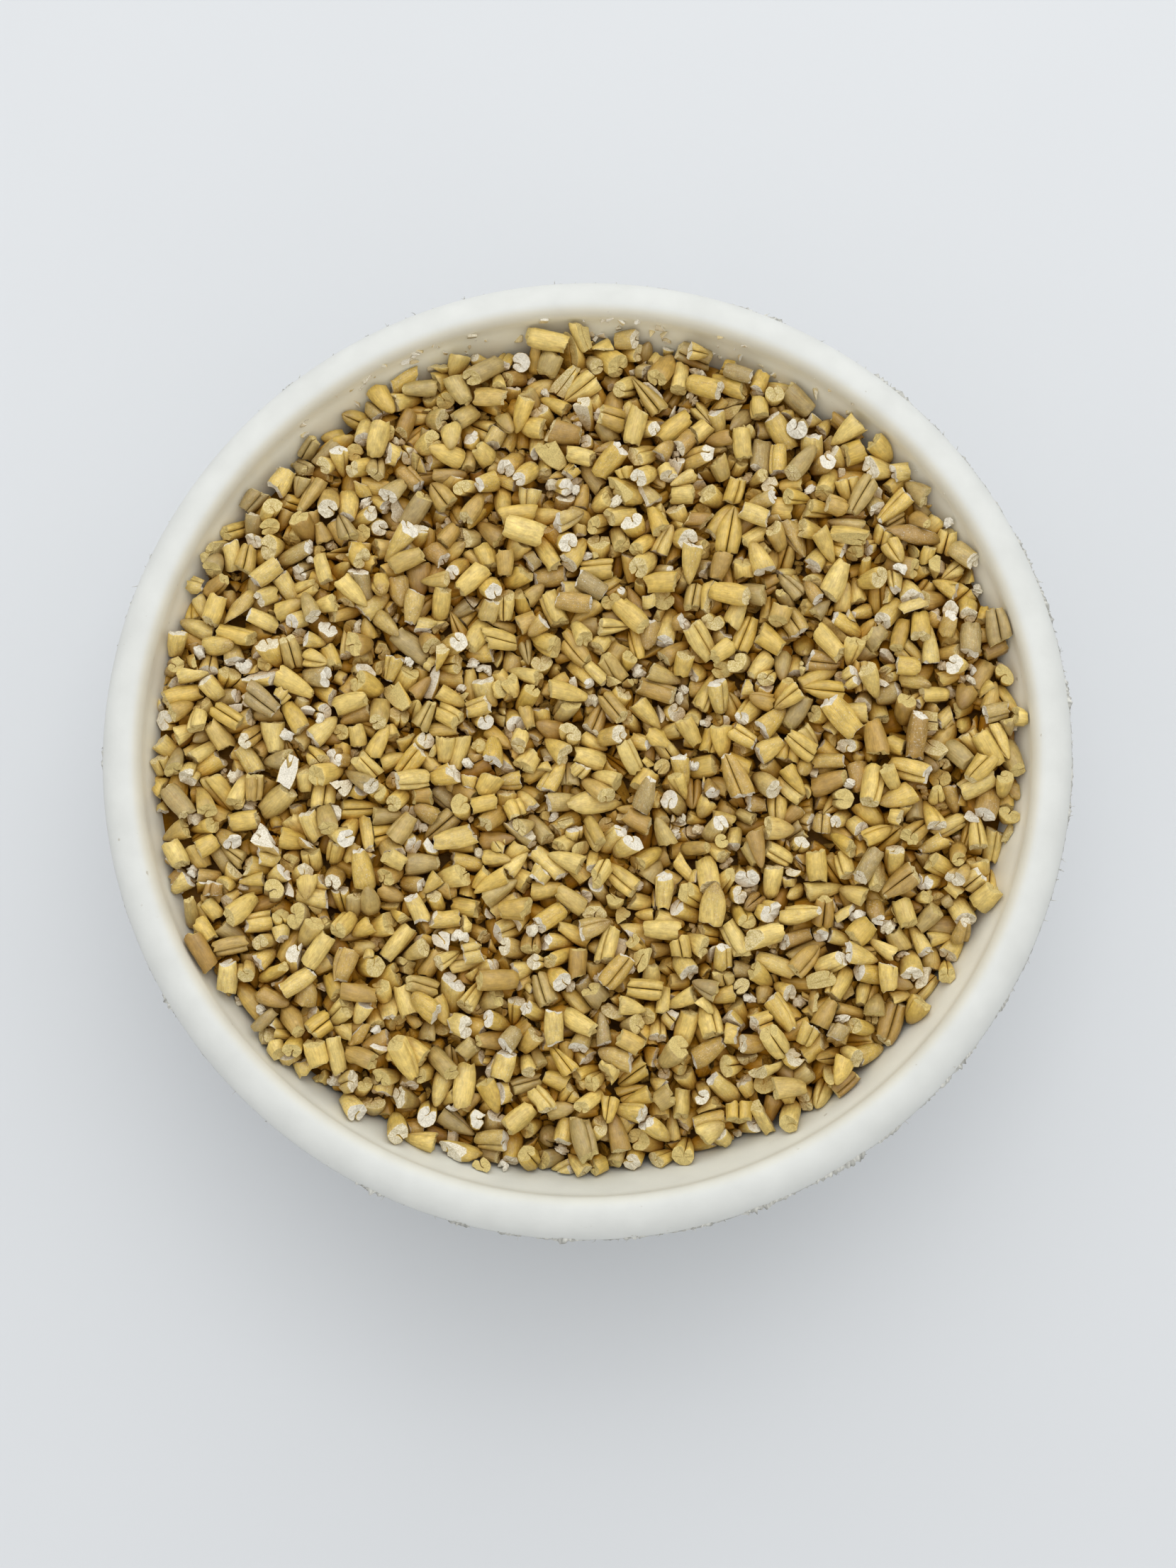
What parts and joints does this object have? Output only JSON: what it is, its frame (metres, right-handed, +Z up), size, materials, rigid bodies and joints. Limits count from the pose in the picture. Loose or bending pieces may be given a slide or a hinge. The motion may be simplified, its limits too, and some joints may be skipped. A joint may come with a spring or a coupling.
{
  "type": "bowl of steel-cut oats",
  "caption": "Small round moulded-fibre bowl with a turned-down rim, filled nearly to the brim with loose steel-cut oats.",
  "frame": {"origin": "middle of the bowl's foot, on the surface that the bowl stands on", "axes": "+Z up out of the bowl's mouth; +X to the right and +Y away from the viewer as in the picture"},
  "size_m": [0.115, 0.115, 0.042],
  "materials": {
    "moulded_fibre": "matte off-white moulded plant fibre",
    "cut_oats": "satin golden-tan cut groats with floury white ends"
  },
  "bodies": {
    "root": {"bowl": "moulded_fibre", "oats": "cut_oats"}
  },
  "joints": []
}
